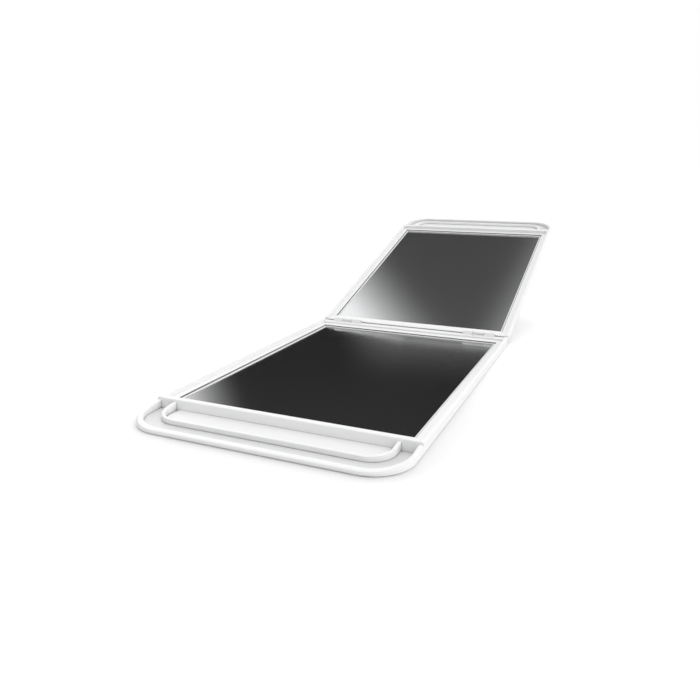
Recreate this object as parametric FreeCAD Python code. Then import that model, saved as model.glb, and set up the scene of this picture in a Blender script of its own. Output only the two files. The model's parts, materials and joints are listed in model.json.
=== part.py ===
"""Folding mirror: two white leaves, each a moulded tray with a mirror and a snap-in bezel, on two pin hinges.

Lengths are in millimetres. Each leaf is drawn lying flat, with the hinge line along X at y = 0 and the
leaf reaching towards -Y, its underside at z = 0. The front leaf stays so, the rear leaf is turned round
and lifted about the hinge line. The finished part has its origin under the middle of the front leaf.
"""
import FreeCAD
import Part
import os
from FreeCAD import Vector

# Mirror window and the widths around it, seen from above
opening_width = 150.0
opening_length = 204.0
bezel_width = 4.5
bezel_hinge_width = 6.5
rail_width = 2.7
crossbar_width = 5.2
crossbar_lean = 0.8
hinge_land_width = 3.6
leaf_gap = 2.4
heel_corner_bevel = 0.8
pocket_corner_radius = 1.0

# Stack of layers from the underside up
back_thickness = 1.2
pad_thickness = 0.3
mirror_thickness = 1.5
lip_thickness = 0.5
lip_step = 1.0
rail_rise = 2.6
land_rise = 1.2
heel_rise = 0.75

# Bezel, mirror and pad
bezel_fit = 0.1
lip_width = 1.7
seat_overlap = 1.4
mirror_fit = 0.3
mirror_corner_radius = 1.0
mirror_edge_bevel = 0.25
pad_inset = 4.0
pad_corner_radius = 6.0
bezel_edge_round = 0.4
lip_edge_bevel = 0.25

# Handle: a shallow dish with a rim, an inner rib and a raised panel, lower towards its free end
handle_length = 32.7
handle_root_height = 5.75
handle_end_height = 2.4
handle_floor = 0.9
outer_corner_radius = 22.5
rim_side_width = 2.6
rim_end_width = 4.3
rim_corner_radius = 20.4
channel_side_width = 9.0
channel_end_width = 9.0
rib_width = 2.1
rib_corner_radius = 13.6
panel_rise = 0.65
panel_end_gap = 2.7

# Rounded edges of the tray
rail_round = 1.0
rim_outer_round = 1.3
rim_inner_round = 0.6
rib_round = 0.6
underside_round = 0.9
wall_round_share = 0.42
top_face_share = 0.5

# Hinges
barrel_radius = 1.75
barrel_inset = 11.2
knuckle_count = 3
knuckle_length = 8.3
knuckle_gap = 0.3
foot_length = 2.2
cradle_gap = 0.75
knuckle_clearance = 0.25
axis_rise = 0.15
pin_radius = 0.8
pin_wall = 0.32
pin_slot = 0.4
pin_end_inset = 0.6
pin_end_bevel = 0.15
pin_running_clearance = 0.04
lift_angle = 17.2

# Helpers for cutting and for finding edges
cut_overrun = 1.0
edge_tolerance = 0.003
diagonal_share = 0.5 ** 0.5
half_turn = 180.0

# Places that follow from the sizes above
floor_top = back_thickness
mirror_bottom = floor_top + pad_thickness
lip_bottom = mirror_bottom + mirror_thickness
lip_top = lip_bottom + lip_thickness
bezel_top = lip_top + lip_step
rail_top = bezel_top + rail_rise
land_top = bezel_top + land_rise
axis_height = rail_top + axis_rise

pocket_width = opening_width + 2 * bezel_width
pocket_length = opening_length + bezel_width + bezel_hinge_width
leaf_width = pocket_width + 2 * rail_width
heel_y = -leaf_gap / 2
pocket_far_y = heel_y - hinge_land_width
pocket_near_y = pocket_far_y - pocket_length
crossbar_y = pocket_near_y - crossbar_width
handle_root_y = crossbar_y + crossbar_lean
toe_y = crossbar_y - handle_length
window_middle_y = pocket_near_y + bezel_width + opening_length / 2
hinge_y = (heel_y - toe_y) / 2 - heel_y
barrel_length = knuckle_count * knuckle_length + (knuckle_count - 1) * knuckle_gap
barrel_outer_x = leaf_width / 2 - barrel_inset


def rounded_sheet(width, y_low, y_high, low_radius, high_radius):
    """Flat face centred on x = 0, with its own corner radius at its low end and at its high end."""
    half = width / 2
    edges = []
    corners = [
        (Vector(half, y_low), Vector(-1, 0), Vector(0, 1), low_radius),
        (Vector(half, y_high), Vector(0, -1), Vector(-1, 0), high_radius),
        (Vector(-half, y_high), Vector(1, 0), Vector(0, -1), high_radius),
        (Vector(-half, y_low), Vector(0, 1), Vector(1, 0), low_radius),
    ]
    ends = []
    for corner, before, after, radius in corners:
        start = corner + before * radius
        finish = corner + after * radius
        centre = corner + (before + after) * radius
        middle = centre - (before + after) * radius * diagonal_share
        ends.append((start, middle, finish, radius))
    for place, (start, middle, finish, radius) in enumerate(ends):
        if radius > 0:
            edges.append(Part.Arc(start, middle, finish).toShape())
        following = ends[(place + 1) % len(ends)][0]
        if finish.distanceToPoint(following) > 0:
            edges.append(Part.makeLine(finish, following))
    return Part.Face(Part.Wire(edges))


def slab(face, z_low, z_high):
    """The face raised to a slab between two heights."""
    raised = face.copy()
    raised.translate(Vector(0, 0, z_low))
    return raised.extrude(Vector(0, 0, z_high - z_low))


def window_slab(length_add, width_add, radius, z_low, z_high):
    """Slab in the middle of the mirror window, grown or shrunk on every side."""
    half = opening_length / 2 + length_add
    face = rounded_sheet(
        opening_width + 2 * width_add, window_middle_y - half, window_middle_y + half, radius, radius
    )
    return slab(face, z_low, z_high)


def block(x_low, x_high, y_low, y_high, z_low, z_high):
    """Plain box between two corners."""
    corner = Vector(x_low, y_low, z_low)
    return Part.makeBox(x_high - x_low, y_high - y_low, z_high - z_low, corner)


def edges_at_height(solid, height, keep=None):
    """Edges that lie wholly at one height, and pass the test on their middle if one is given."""
    found = []
    for edge in solid.Edges:
        box = edge.BoundBox
        flat = abs(box.ZMin - height) < edge_tolerance and abs(box.ZMax - height) < edge_tolerance
        if flat and (keep is None or keep(edge.CenterOfMass)):
            found.append(edge)
    return found


def handle_slope_cut():
    """Everything above the handle's sloping top, from inside the crossbar to past the free end."""
    drop_rate = (handle_root_height - handle_end_height) / handle_length
    far_end = toe_y - cut_overrun
    far_height = handle_end_height - drop_rate * cut_overrun
    root_height = handle_root_height + drop_rate * crossbar_lean
    sky = rail_top + cut_overrun
    half = leaf_width / 2 + cut_overrun
    profile = Part.makePolygon([
        Vector(-half, handle_root_y, root_height),
        Vector(-half, far_end, far_height),
        Vector(-half, far_end, sky),
        Vector(-half, handle_root_y, sky),
        Vector(-half, handle_root_y, root_height),
    ])
    return Part.Face(profile).extrude(Vector(2 * half, 0, 0))


def sloping_top_edges(wall):
    """The long edges of a handle wall's sloping top: first its outer line, then its inner line."""
    flats = [face for face in wall.Faces if isinstance(face.Surface, Part.Plane)]
    tops = [face for face in flats if face.normalAt(0, 0).z > top_face_share]
    top = max(tops, key=lambda face: face.BoundBox.ZMax)
    edges = [edge for edge in top.Edges if edge.BoundBox.YMin < crossbar_y - edge_tolerance]
    chains = Part.sortEdges(edges)
    chains.sort(key=lambda chain: min(edge.BoundBox.YMin for edge in chain))
    return chains


def round_sloping_top(wall, outer_radius, inner_radius):
    """Rounds a handle wall's sloping top along its outer line and along its inner line."""
    rounded = wall.makeFillet(outer_radius, sloping_top_edges(wall)[0])
    return rounded.makeFillet(inner_radius, sloping_top_edges(rounded)[-1])


def mirror_frame():
    """The part of the tray round the mirror: back, side rails, crossbar and the lower land at the hinge."""
    frame = slab(rounded_sheet(leaf_width, crossbar_y, heel_y, 0, 0), 0, rail_top)
    pocket = slab(
        rounded_sheet(pocket_width, pocket_near_y, pocket_far_y, pocket_corner_radius, pocket_corner_radius),
        floor_top, rail_top + cut_overrun,
    )
    half_pocket = pocket_width / 2
    sky = rail_top + cut_overrun
    rise_rate = heel_rise / hinge_land_width
    past_heel = heel_y + cut_overrun
    land = Part.Face(Part.makePolygon([
        Vector(-half_pocket, pocket_far_y - pocket_corner_radius, land_top),
        Vector(-half_pocket, pocket_far_y, land_top),
        Vector(-half_pocket, past_heel, land_top + heel_rise + rise_rate * cut_overrun),
        Vector(-half_pocket, past_heel, sky),
        Vector(-half_pocket, pocket_far_y - pocket_corner_radius, sky),
        Vector(-half_pocket, pocket_far_y - pocket_corner_radius, land_top),
    ])).extrude(Vector(pocket_width, 0, 0))
    half = leaf_width / 2 + cut_overrun
    lean = Part.Face(Part.makePolygon([
        Vector(-half, crossbar_y, handle_floor),
        Vector(-half, crossbar_y + crossbar_lean, rail_top),
        Vector(-half, crossbar_y + crossbar_lean, sky),
        Vector(-half, crossbar_y, sky),
        Vector(-half, crossbar_y, handle_floor),
    ])).extrude(Vector(2 * half, 0, 0))
    return frame.cut(pocket).cut(land).cut(lean)


def handle_dish():
    """The handle's floor and its rim, with a rounded top that slopes down to the free end."""
    outline = rounded_sheet(leaf_width, toe_y, handle_root_y, outer_corner_radius, 0)
    dish = slab(outline, 0, rail_top)
    inner_width = leaf_width - 2 * rim_side_width
    inner = rounded_sheet(
        inner_width, toe_y + rim_end_width, handle_root_y + cut_overrun, rim_corner_radius, 0
    )
    dish = dish.cut(slab(inner, handle_floor, rail_top + cut_overrun)).cut(handle_slope_cut())
    return round_sloping_top(dish, rim_outer_round, rim_inner_round)


def heel_corner_cut(side):
    """Upright wedge that takes the sharp corner off one end of the heel, beside the hinge."""
    corner_x = side * (leaf_width / 2)
    reach = heel_corner_bevel + cut_overrun
    wedge = Part.Face(Part.makePolygon([
        Vector(corner_x - side * reach, heel_y + cut_overrun, -cut_overrun),
        Vector(corner_x + side * cut_overrun, heel_y + cut_overrun, -cut_overrun),
        Vector(corner_x + side * cut_overrun, heel_y - reach, -cut_overrun),
        Vector(corner_x - side * reach, heel_y + cut_overrun, -cut_overrun),
    ]))
    return wedge.extrude(Vector(0, 0, rail_top + 2 * cut_overrun))


def tray_shell():
    """Frame and handle in one, rounded underneath except at the heel, and rounded along its rails."""
    shell = mirror_frame().fuse(handle_dish()).removeSplitter()
    underside = edges_at_height(shell, 0, lambda middle: middle.y < heel_y - edge_tolerance)
    shell = shell.makeFillet(underside_round, underside)
    rail_radius = min(rail_round, rail_width * wall_round_share)
    side_x = leaf_width / 2 - rail_width / 2
    crossbar_middle_y = crossbar_y + crossbar_width / 2

    def outer_rail(middle):
        return middle.y < crossbar_middle_y or abs(middle.x) > side_x + edge_tolerance

    def inner_rail(middle):
        return abs(middle.x) < side_x and crossbar_middle_y < middle.y < heel_y - edge_tolerance

    shell = shell.makeFillet(rail_radius, edges_at_height(shell, rail_top, outer_rail))
    shell = shell.makeFillet(rail_radius / 2, edges_at_height(shell, rail_top, inner_rail))
    return shell.cut(heel_corner_cut(-1)).cut(heel_corner_cut(1))


def handle_rib():
    """The U-shaped rib inside the rim, and the raised panel within it that ends short of its arms."""
    rib_y = toe_y + rim_end_width + channel_end_width
    rib_outer_width = leaf_width - 2 * (rim_side_width + channel_side_width)
    inner_width = rib_outer_width - 2 * rib_width
    inner_radius = max(rib_corner_radius - rib_width, pocket_corner_radius)
    outer = rounded_sheet(rib_outer_width, rib_y, handle_root_y, rib_corner_radius, 0)
    inner = rounded_sheet(inner_width, rib_y + rib_width, handle_root_y, inner_radius, 0)
    long_inner = rounded_sheet(inner_width, rib_y + rib_width, handle_root_y + cut_overrun, inner_radius, 0)
    rib = slab(outer, handle_floor, rail_top)
    rib = rib.cut(slab(long_inner, 0, rail_top + cut_overrun)).cut(handle_slope_cut())
    rib = round_sloping_top(rib, rib_round, rib_round)
    panel_half = inner_width / 2 - panel_end_gap
    panel_top = handle_floor + panel_rise
    panel = block(-panel_half, panel_half, rib_y + rib_width, handle_root_y, handle_floor, panel_top)
    return rib.fuse(panel.common(slab(inner, handle_floor, rail_top)))


def knuckle_x(side, place):
    """The x range of one knuckle of the barrel on the given side, counted from its outer end."""
    step = knuckle_length + knuckle_gap
    outer = barrel_outer_x - place * step
    inner = outer - knuckle_length
    if side > 0:
        return inner, outer
    return -outer, -inner


def axis_cylinder(radius, x_low, x_high):
    """Cylinder along the hinge line."""
    return Part.makeCylinder(radius, x_high - x_low, Vector(x_low, 0, axis_height), Vector(1, 0, 0))


def knuckle_foot(x_low, x_high):
    """Sloping foot from the top of the barrel down on to the hinge land and the tray's end."""
    slant = barrel_radius * diagonal_share
    root_y = heel_y - foot_length
    return Part.Face(Part.makePolygon([
        Vector(x_low, 0, axis_height - barrel_radius),
        Vector(x_low, heel_y, bezel_top),
        Vector(x_low, root_y, bezel_top),
        Vector(x_low, root_y, land_top),
        Vector(x_low, -slant, axis_height + slant),
        Vector(x_low, 0, axis_height),
        Vector(x_low, 0, axis_height - barrel_radius),
    ])).extrude(Vector(x_high - x_low, 0, 0))


def knuckle(x_low, x_high, bore_radius):
    """One knuckle: a bored barrel on a sloping foot."""
    solid = axis_cylinder(barrel_radius, x_low, x_high).fuse(knuckle_foot(x_low, x_high))
    return solid.cut(axis_cylinder(bore_radius, x_low - cut_overrun, x_high + cut_overrun))


def cradle(x_low, x_high):
    """The same foot, hollowed to clear the knuckle of the other leaf that turns in front of it."""
    hollow = axis_cylinder(barrel_radius + cradle_gap, x_low - cut_overrun, x_high + cut_overrun)
    return knuckle_foot(x_low, x_high).cut(hollow)


def knuckle_room(x_low, x_high):
    """The space in which a knuckle of the other leaf turns."""
    return axis_cylinder(barrel_radius + knuckle_clearance, x_low - knuckle_gap, x_high + knuckle_gap)


def tray(first_knuckle, bore_radius):
    """One leaf's moulding: every second place of both barrels has a knuckle, the others a cradle."""
    body = tray_shell()
    fittings = [handle_rib()]
    for side in (-1, 1):
        for place in range(knuckle_count):
            x_low, x_high = knuckle_x(side, place)
            if place % 2 == first_knuckle:
                fittings.append(knuckle(x_low, x_high, bore_radius))
            else:
                body = body.cut(knuckle_room(x_low, x_high))
                fittings.append(cradle(x_low, x_high))
    for fitting in fittings:
        body = body.fuse(fitting)
    return body.removeSplitter()


def bezel():
    """Snap-in frame: a flat ring level with the window, stepped down to a thin lip over the mirror's edge."""
    outline = rounded_sheet(
        pocket_width - 2 * bezel_fit, pocket_near_y + bezel_fit, pocket_far_y - bezel_fit,
        pocket_corner_radius - bezel_fit, pocket_corner_radius - bezel_fit,
    )
    ring = slab(outline, floor_top, bezel_top)
    ring = ring.cut(window_slab(0, 0, 0, lip_top, bezel_top + cut_overrun))
    ring = ring.cut(window_slab(-lip_width, -lip_width, 0, floor_top - cut_overrun, bezel_top))
    ring = ring.cut(window_slab(seat_overlap, seat_overlap, 0, floor_top - cut_overrun, lip_bottom))
    half_length = opening_length / 2 + bezel_width / 2
    half_width = opening_width / 2 + bezel_width / 2

    def inside(middle):
        return abs(middle.x) < half_width and abs(middle.y - window_middle_y) < half_length

    ring = ring.makeFillet(bezel_edge_round, edges_at_height(ring, bezel_top, inside))
    lip_half_length = opening_length / 2 - lip_width / 2
    lip_half_width = opening_width / 2 - lip_width / 2

    def on_lip(middle):
        return abs(middle.x) < lip_half_width and abs(middle.y - window_middle_y) < lip_half_length

    return ring.makeChamfer(lip_edge_bevel, edges_at_height(ring, lip_top, on_lip))


def mirror():
    """Silvered sheet with rounded corners and a ground bevel along its front edge."""
    grow = seat_overlap - mirror_fit
    sheet = window_slab(grow, grow, mirror_corner_radius, mirror_bottom, lip_bottom)
    return sheet.makeChamfer(mirror_edge_bevel, edges_at_height(sheet, lip_bottom))


def backing_pad():
    """Die-cut foam tape that holds the mirror to the tray's floor."""
    grow = seat_overlap - mirror_fit - pad_inset
    return window_slab(grow, grow, pad_corner_radius, floor_top, mirror_bottom)


def hinge_pin(side):
    """Slotted spring pin along one barrel, with bevelled ends; its grip holds the leaf where it is put."""
    length = barrel_length - 2 * pin_end_inset
    x_low = barrel_outer_x - barrel_length + pin_end_inset
    if side < 0:
        x_low = -barrel_outer_x + pin_end_inset
    start = Vector(x_low, 0, axis_height)
    along = Vector(1, 0, 0)
    pin = Part.makeCylinder(pin_radius, length, start, along)
    end_edges = [edge for edge in pin.Edges if edge.BoundBox.XLength < pin_end_bevel]
    pin = pin.makeChamfer(pin_end_bevel, end_edges)
    bore_start = start - along * cut_overrun
    pin = pin.cut(Part.makeCylinder(pin_radius - pin_wall, length + 2 * cut_overrun, bore_start, along))
    slot = block(
        x_low - cut_overrun, x_low + length + cut_overrun, -pin_slot / 2, pin_slot / 2,
        axis_height - pin_radius - cut_overrun, axis_height,
    )
    return pin.cut(slot)


def as_front(shape):
    """Moves a leaf's piece from the hinge line to the part's origin."""
    placed = shape.copy()
    placed.translate(Vector(0, hinge_y, 0))
    return placed


def as_rear(shape):
    """Turns a leaf's piece round to the far side, lifts it about the hinge line and moves it into place."""
    placed = shape.copy()
    placed.rotate(Vector(0, 0, 0), Vector(0, 0, 1), half_turn)
    placed.rotate(Vector(0, 0, axis_height), Vector(1, 0, 0), lift_angle)
    placed.translate(Vector(0, hinge_y, 0))
    return placed


nodes = {
    "front_tray": as_front(tray(0, pin_radius)),
    "front_backing_pad": as_front(backing_pad()),
    "front_mirror": as_front(mirror()),
    "front_bezel": as_front(bezel()),
    "rear_tray": as_rear(tray(1, pin_radius + pin_running_clearance)),
    "rear_backing_pad": as_rear(backing_pad()),
    "rear_mirror": as_rear(mirror()),
    "rear_bezel": as_rear(bezel()),
    "left_hinge_pin": as_front(hinge_pin(-1)),
    "right_hinge_pin": as_front(hinge_pin(1)),
}

os.makedirs("parts", exist_ok=True)
for name, shape in nodes.items():
    shape.exportStep(f"parts/{name}.step")
    print(name, "valid", shape.isValid(), "solids", len(shape.Solids), "volume", round(shape.Volume, 1))
print("hinge axis", round(hinge_y, 4), round(axis_height, 4))
print("leaf", round(leaf_width, 3), round(heel_y - toe_y, 3))
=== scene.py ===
"""Looks of the folding mirror: moulded white plastic, silvered mirror sheets and a plain bright studio.

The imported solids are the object. This script gives each of them its finish, and sets up the floor, the light
and the camera. Lengths are in metres.
"""

import json
import math
from collections import namedtuple

import bpy
import numpy as np
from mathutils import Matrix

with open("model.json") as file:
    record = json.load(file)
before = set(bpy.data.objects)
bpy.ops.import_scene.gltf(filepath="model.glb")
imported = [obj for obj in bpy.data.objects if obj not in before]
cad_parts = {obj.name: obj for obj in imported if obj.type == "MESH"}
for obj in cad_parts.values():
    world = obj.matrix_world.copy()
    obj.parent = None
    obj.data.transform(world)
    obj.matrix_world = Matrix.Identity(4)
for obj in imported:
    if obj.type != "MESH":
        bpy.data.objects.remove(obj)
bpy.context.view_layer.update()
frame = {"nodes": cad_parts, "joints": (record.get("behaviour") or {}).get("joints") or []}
nodes = frame["nodes"]

fold = frame["joints"][0]
hinge_y, hinge_z = fold["pos_m"][1:]
rear_lift = -math.radians(fold["range_deg"][0])

BLACK = (0.0, 0.0, 0.0)
WHITE = (1.0, 1.0, 1.0)


def even_grey(level):
    """A grey of one level in red, green and blue."""
    return (level, level, level)


def sine(degrees):
    """Height of a direction at this many degrees above the floor."""
    return math.sin(math.radians(degrees))


class Wire:
    """An output socket that takes part in Python sums. Each operator adds one Math node to its tree."""

    def __init__(self, maker, socket):
        self.maker = maker
        self.socket = socket

    def math(self, operation, *values):
        return self.maker.node("ShaderNodeMath", {"operation": operation}, dict(enumerate(values)))

    def __add__(self, other):
        return self.math("ADD", self, other)

    def __radd__(self, other):
        return self.math("ADD", other, self)

    def __sub__(self, other):
        return self.math("SUBTRACT", self, other)

    def __rsub__(self, other):
        return self.math("SUBTRACT", other, self)

    def __mul__(self, other):
        return self.math("MULTIPLY", self, other)

    def __rmul__(self, other):
        return self.math("MULTIPLY", other, self)

    def __neg__(self):
        return self.math("MULTIPLY", self, -1.0)

    def bigger(self, other):
        return self.math("MAXIMUM", self, other)


class Finish:
    """A node tree being written: makes its nodes one by one and hands back their outputs as wires."""

    def __init__(self, tree):
        self.tree = tree
        tree.nodes.clear()

    def node(self, kind, settings=None, inputs=None, output=0):
        """Adds a node, applies its settings first, then sets or links its sockets, and returns one output."""
        made = self.tree.nodes.new(kind)
        for name, value in (settings or {}).items():
            setattr(made, name, value)
        for name, value in (inputs or {}).items():
            if isinstance(value, Wire):
                self.tree.links.new(value.socket, made.inputs[name])
            else:
                made.inputs[name].default_value = value
        return Wire(self, made.outputs[output]) if made.outputs else made

    def place(self):
        """The point on the piece, in the part's own metres."""
        return self.node("ShaderNodeTexCoord", output="Object")

    def axes(self, vector):
        """The x, y and z of a vector as three wires."""
        split = self.node("ShaderNodeSeparateXYZ", None, {"Vector": vector})
        outputs = split.socket.node.outputs
        return [Wire(self, outputs[axis]) for axis in "XYZ"]

    def stretched(self, vector, scale):
        """The vector with its axes scaled, for grain that runs one way."""
        return self.node("ShaderNodeMapping", None, {"Vector": vector, "Scale": scale})

    def cloud(self, vector, per_metre, detail=2.0):
        """Soft noise from 0 to 1 with so many waves in a metre."""
        inputs = {"Vector": vector, "Scale": per_metre, "Detail": detail, "Roughness": 0.5}
        return self.node("ShaderNodeTexNoise", None, inputs, "Fac")

    def ramp(self, value, low, high, way="LINEAR"):
        """0 at low and 1 at high, straight between and level outside."""
        inputs = {"Value": value, "From Min": low, "From Max": high, "To Min": 0.0, "To Max": 1.0}
        return self.node("ShaderNodeMapRange", {"interpolation_type": way}, inputs)

    def rise(self, value, low, high):
        """0 below low and 1 above high, with a smooth step between."""
        return self.ramp(value, low, high, "SMOOTHSTEP")

    def soft_edge(self, value, low, high):
        """A ramp squared: it leaves 0 slowly at low and reaches 1 at high."""
        edge = self.ramp(value, low, high)
        return edge * edge

    def tint(self, amount, first, second):
        """A colour that runs from the first, a colour or a wire, to the second."""
        start = first if isinstance(first, Wire) else (*first, 1.0)
        inputs = {"Factor": amount, 6: start, 7: (*second, 1.0)}
        return self.node("ShaderNodeMix", {"data_type": "RGBA"}, inputs, 2)

    def crevice(self, reach, own_piece):
        """How far a place lies in a corner, seen within the reach: 0 in the open and 1 deep in a groove."""
        settings = {"samples": 16, "only_local": own_piece}
        return 1.0 - self.node("ShaderNodeAmbientOcclusion", settings, {"Distance": reach}, "AO")

    def bump(self, height, distance, strength, below=None):
        """Normal of a surface with a fine relief of the given height in metres."""
        inputs = {"Height": height, "Distance": distance, "Strength": strength}
        if below is not None:
            inputs["Normal"] = below
        return self.node("ShaderNodeBump", None, inputs)

    def surface(self, inputs):
        """Ends the tree with one Principled surface."""
        shade = self.node("ShaderNodeBsdfPrincipled", None, inputs)
        self.node("ShaderNodeOutputMaterial", None, {"Surface": shade})


def new_finish(name):
    """An empty material and its tree."""
    material = bpy.data.materials.new(name)
    material.use_nodes = True
    return material, Finish(material.node_tree)


# Painted shade in corners: a crease greys the colour within its reach in metres, from the crevice where it
# starts to where it is full
PaintedShade = namedtuple("PaintedShade", "reach starts full depth own_piece")
TRAY_SHADE = 0.955
TRAY_GLOSS = 0.30
TRAY_CORNER_SHADE = PaintedShade(0.0014, 0.24, 0.52, 0.44, own_piece=True)
TRAY_HOLLOW_SHADE = PaintedShade(0.010, 0.45, 0.92, 0.36, own_piece=False)
# The bezels' white is a little lighter than the trays': painted light that makes up for the shade the rails
# cast on them
BEZEL_SHADE = 0.965
BEZEL_GLOSS = 0.27
BEZEL_STEP_SHADE = PaintedShade(0.0016, 0.09, 0.23, 0.78, own_piece=True)
BEZEL_HOLLOW_SHADE = PaintedShade(0.012, 0.50, 0.90, 0.10, own_piece=False)
PLASTIC_LIGHT = (1.0, 1.0, 0.998)
PLASTIC_DEEP = (0.978, 0.981, 0.985)

# Heights on a leaf between which the painted shade of each recess fades in, and how flat a recess floor lies
CHANNEL_FADE = (0.0014, 0.0011)
PANEL_FADE = (0.0021, 0.0017)
LEVEL_FADE = (0.90, 0.98)
CHANNEL_SHADE = 0.14
PANEL_SHADE = 0.055


def recess_shade(make, place, lift):
    """How much painted shade greys the floors of the handle: most in the channel, less on the raised panel.

    The leaf's own height and upright are worked out for a leaf turned up about the hinge by the lift, which
    is in radians.
    """
    _, y, z = make.axes(place)
    _, facing_y, facing_z = make.axes(make.node("ShaderNodeTexCoord", output="Normal"))
    height = math.cos(lift) * (z - hinge_z) - math.sin(lift) * (y - hinge_y) + hinge_z
    upright = math.cos(lift) * facing_z - math.sin(lift) * facing_y
    panel = PANEL_SHADE * make.rise(height, *PANEL_FADE)
    channel = CHANNEL_SHADE * make.rise(height, *CHANNEL_FADE)
    return make.rise(upright, *LEVEL_FADE) * (panel + channel)


def moulded_plastic(name, shade, gloss, shade_creases, lift=None):
    """White satin plastic: faint tone clouds, a wavy moulded wall, fine grain and painted shade greying two
    kinds of crease.

    A tray's lift in radians places the painted shade on its recess floors.
    """
    material, make = new_finish(name)
    place = make.place()
    tone = make.cloud(place, 22.0, 3.0)
    wave = make.cloud(place, 160.0, 1.0)
    grain = make.cloud(place, 5200.0)
    light = tuple(channel * shade for channel in PLASTIC_LIGHT)
    deep = tuple(channel * shade for channel in PLASTIC_DEEP)
    wavy_wall = make.bump(wave, 0.00004, 0.25)
    # Painted shade: each crease greys the colour in its corners, and the darker of the two is used
    corner, hollow = (
        crease.depth * make.rise(make.crevice(crease.reach, crease.own_piece), crease.starts, crease.full)
        for crease in shade_creases
    )
    grey = corner.bigger(hollow)
    if lift is not None:
        # A tray also gets painted shade on its recess floors
        grey = grey + recess_shade(make, place, lift)
    make.surface({
        "Base Color": make.tint(grey, make.tint(tone, deep, light), BLACK),
        "Roughness": gloss + 0.07 * grain + 0.05 * tone,
        "Specular IOR Level": 0.2,
        "Normal": make.bump(grain, 0.000012, 0.35, wavy_wall),
    })
    return material


def tray_plastic(name, lift):
    """The plastic of a tray whose leaf is lifted by this many radians."""
    return moulded_plastic(name, TRAY_SHADE, TRAY_GLOSS, (TRAY_CORNER_SHADE, TRAY_HOLLOW_SHADE), lift)


def bezel_plastic(name):
    """The plastic of both bezels, with a dark line of painted shade at the step down to the lip."""
    return moulded_plastic(name, BEZEL_SHADE, BEZEL_GLOSS, (BEZEL_STEP_SHADE, BEZEL_HOLLOW_SHADE))


def silvered_mirror(name):
    """Dark-toned silver behind glass: a metal reflection with haze in soft patches and specks of dust."""
    material, make = new_finish(name)
    place = make.place()
    haze = make.cloud(place, 9.0, 3.0)
    dust = make.rise(make.cloud(place, 2600.0, 1.0), 0.72, 0.82)
    make.surface({
        "Base Color": make.tint(haze, (0.44, 0.445, 0.45), (0.46, 0.463, 0.466)),
        "Metallic": 1.0,
        "Roughness": 0.085 + 0.02 * haze + 0.04 * dust,
    })
    return material


def foam_tape(name):
    """Dark closed-cell foam with small round pores."""
    material, make = new_finish(name)
    place = make.place()
    pores = make.node("ShaderNodeTexVoronoi", None, {"Vector": place, "Scale": 1500.0}, "Distance")
    tone = make.cloud(place, 240.0)
    make.surface({
        "Base Color": make.tint(tone, (0.045, 0.045, 0.05), (0.075, 0.075, 0.08)),
        "Roughness": 0.85 + 0.1 * tone,
        "Normal": make.bump(pores, 0.0002, 0.6),
    })
    return material


def drawn_steel(name):
    """Spring steel with fine lines along the pin."""
    material, make = new_finish(name)
    lines = make.cloud(make.stretched(make.place(), (60.0, 9000.0, 9000.0)), 1.0)
    make.surface({
        "Base Color": make.tint(lines, (0.52, 0.52, 0.53), (0.66, 0.66, 0.67)),
        "Metallic": 1.0,
        "Roughness": 0.24 + 0.14 * lines,
        "Normal": make.bump(lines, 0.00001, 0.5),
    })
    return material


def dress_solids():
    """Gives each solid the finish that is named for it, or for the last word of its name."""
    finishes = {
        "front_tray": tray_plastic("front_tray_plastic", 0.0),
        "rear_tray": tray_plastic("rear_tray_plastic", rear_lift),
        "bezel": bezel_plastic("bezel_plastic"),
        "mirror": silvered_mirror("mirror_silver"),
        "pad": foam_tape("pad_foam"),
        "pin": drawn_steel("pin_steel"),
    }
    for name, solid in nodes.items():
        solid.data.materials.clear()
        solid.data.materials.append(finishes.get(name) or finishes[name.rsplit("_", 1)[1]])


FLOOR_REACH = 40.0
FLOOR_HEIGHT = -0.0001
FLOOR_OPEN = even_grey(0.87)
# Colour of the painted contact shadow on the floor
FLOOR_SHADOWED = even_grey(0.73)


def floor_white():
    """White paper with a painted contact shadow near the part, faint on the left, and seen a little whiter
    towards the far side.
    """
    material, make = new_finish("floor_white")
    sideways, along, _ = make.axes(make.place())
    camera = make.node("ShaderNodeLightPath", output="Is Camera Ray")
    # Camera-only glow, stronger towards the far side: painted light that washes out the shadow there
    white_out = camera * (0.12 + 0.16 * make.rise(along, -0.06, 0.13))
    # Painted contact shadow: strongest in the middle and on the right of the part, faint on the left, weaker
    # at the far right
    shadow_side = make.rise(sideways, -0.095, -0.03) - 0.6 * make.rise(sideways, 0.055, 0.085)
    contact_shadow = shadow_side * make.rise(make.crevice(0.03, own_piece=False), 0.0, 0.03)
    make.surface({
        "Base Color": make.tint(contact_shadow, FLOOR_OPEN, FLOOR_SHADOWED),
        "Roughness": 1.0,
        "Specular IOR Level": 0.0,
        "Emission Color": make.tint(white_out, BLACK, WHITE),
        "Emission Strength": 1.0,
    })
    return material


def studio_floor():
    """A wide flat sheet just under the part: a grid of 3 by 3 points that reaches as far both ways."""
    side = np.linspace(-FLOOR_REACH, FLOOR_REACH, 3)
    across, along = np.meshgrid(side, side)
    points = np.stack([across.ravel(), along.ravel(), np.full(across.size, FLOOR_HEIGHT)], axis=1)
    first_corners = np.array([0, 1, 3, 4])
    quads = first_corners[:, None] + np.array([0, 1, 4, 3])
    mesh = bpy.data.meshes.new("studio_floor")
    mesh.from_pydata(points.tolist(), [], quads.tolist())
    mesh.materials.append(floor_white())
    floor = bpy.data.objects.new("studio_floor", mesh)
    bpy.context.scene.collection.objects.link(floor)


# Ways that the soft boxes and the key light lie, as unit vectors
STRIP_WAY = (-0.617, -0.772, 0.151)
SIDE_WAY = (0.911, -0.167, 0.375)
KEY_WAY = (-0.522, 0.660, 0.540)


def along_way(axes, way):
    """How far a direction points a given way: the products of their axes, summed."""
    x, y, z = axes
    return way[0] * x + way[1] * y + way[2] * z


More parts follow.
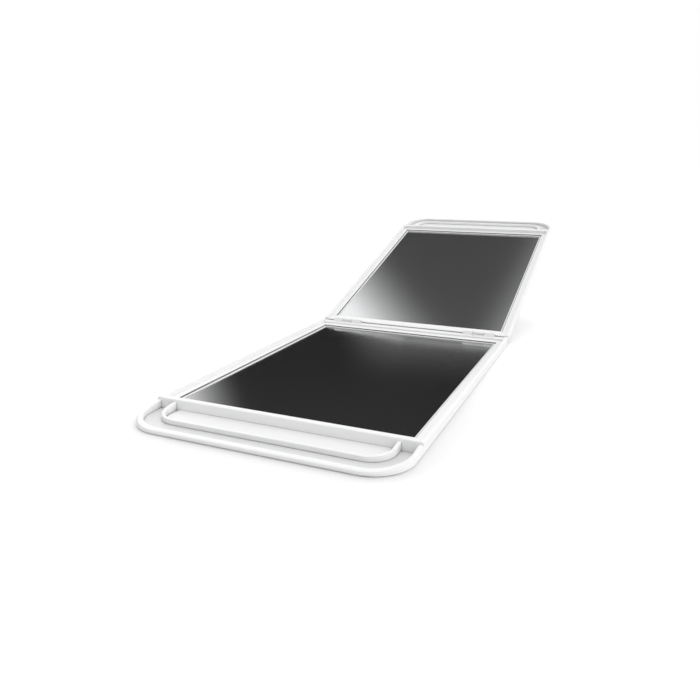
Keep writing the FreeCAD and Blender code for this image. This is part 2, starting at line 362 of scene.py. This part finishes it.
def dim_room(make, axes):
    """What the gloss and the mirrors see: a dim room, lighter above, with a low wall and three soft boxes."""
    x, y, z = axes
    sideways = make.node("ShaderNodeMath", {"operation": "ARCTAN2"}, {0: x, 1: y})
    leftward = along_way(axes, STRIP_WAY)
    rightward = along_way(axes, SIDE_WAY)
    room = 0.022 + 0.112 * make.rise(z, 0.25, 0.80)
    wall_end = make.rise(sideways, math.radians(-25.0), math.radians(-19.5))
    low_wall = make.soft_edge(z, sine(18.7), sine(9.5)) * wall_end
    strip_box = 1.8 * make.soft_edge(leftward, -0.235, -0.134) * make.rise(leftward, 0.25, 0.05)
    side_box = make.soft_edge(rightward, -0.037, 0.054) * make.rise(rightward, 0.40, 0.20)
    top_box = make.rise(z, sine(62.0), sine(76.0))
    return room + low_wall + strip_box + side_box + top_box


def soft_dome(make, axes):
    """What lights the plastic: a dome with a key light behind to the left and more light from the right."""
    x, y, z = axes
    key = make.rise(along_way(axes, KEY_WAY), math.cos(math.radians(40.0)), math.cos(math.radians(10.0)))
    overhead = make.rise(z, 0.30, 1.0)
    right, left, front = (make.rise(toward, 0.0, 0.8) for toward in (x, -x, -y))
    return 0.43 + 1.60 * key + 0.33 * overhead + (0.92 * right + 0.24 * left - 0.16 * front)


def studio_world():
    """White behind the object, the dim room in its gloss and the soft dome for all other light."""
    world = bpy.data.worlds.new("studio")
    bpy.context.scene.world = world
    world.use_nodes = True
    make = Finish(world.node_tree)
    axes = make.axes(make.node("ShaderNodeTexCoord", output="Generated"))
    camera = make.node("ShaderNodeLightPath", output="Is Camera Ray")
    glossy = make.node("ShaderNodeLightPath", output="Is Glossy Ray")
    unseen = glossy * dim_room(make, axes) + (1.0 - glossy) * soft_dome(make, axes)
    strength = camera + (1.0 - camera) * unseen
    back = make.node("ShaderNodeBackground", None, {"Color": (*WHITE, 1.0), "Strength": strength})
    make.node("ShaderNodeOutputWorld", None, {"Surface": back})


# The camera's lens and sensor are in millimetres, its dip below level and its turn to the left in degrees
CAMERA_PLACE = (0.16708, -0.37885, 0.13871)
CAMERA_DIP = 15.936
CAMERA_TURN = 23.722
CAMERA_LENS = 33.18
CAMERA_SENSOR = 36.0


def photo_camera():
    """Camera fitted to the photograph's window corners, handle and hinge lines."""
    data = bpy.data.cameras.new("photo_camera")
    data.sensor_width = CAMERA_SENSOR
    data.lens = CAMERA_LENS
    data.clip_start = 0.01
    data.clip_end = 200.0
    camera = bpy.data.objects.new("photo_camera", data)
    bpy.context.scene.collection.objects.link(camera)
    camera.location = CAMERA_PLACE
    camera.rotation_euler = (math.radians(90.0 - CAMERA_DIP), 0.0, math.radians(CAMERA_TURN))
    bpy.context.scene.camera = camera


dress_solids()
studio_floor()
studio_world()
photo_camera()
bpy.context.scene.view_settings.view_transform = "Standard"
